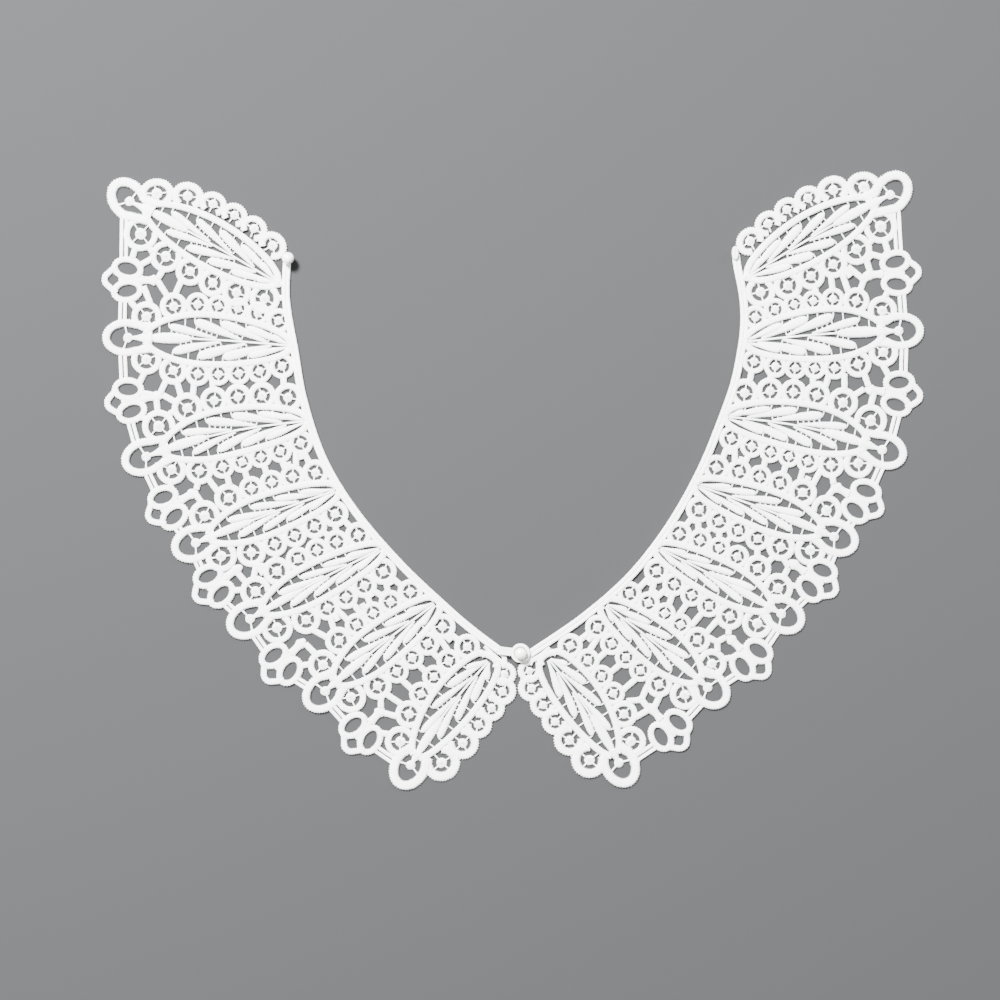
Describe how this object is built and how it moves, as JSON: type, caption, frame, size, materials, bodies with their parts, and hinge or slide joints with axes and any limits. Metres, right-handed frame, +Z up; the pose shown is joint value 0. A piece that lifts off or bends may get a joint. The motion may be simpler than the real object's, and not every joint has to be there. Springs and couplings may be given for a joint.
{
  "type": "lace collar",
  "caption": "White corded lace collar in two mirrored scalloped halves, laid flat and joined at centre front by a pearl button and loop.",
  "frame": {"origin": "middle of the collar's box in plan, on the surface that it lies on", "axes": "+X from the left half to the right half as seen from above, +Y to the back of the neck, +Z up out of the surface"},
  "size_m": [0.3452, 0.2595, 0.0068],
  "materials": {
    "lace_cotton": "matte, satin-stitched thread",
    "band_cotton": "matte, satin-stitched thread",
    "loop_cotton": "matte, satin-stitched thread",
    "pearl": "glossy pearl"
  },
  "bodies": {
    "root": {"lace_left": "lace_cotton", "lace_right": "lace_cotton", "neck_band_left": "band_cotton", "neck_band_right": "band_cotton", "button_loop_front": "loop_cotton", "button_loop_back": "loop_cotton", "pearl_front": "pearl", "pearl_back": "pearl"}
  },
  "joints": []
}
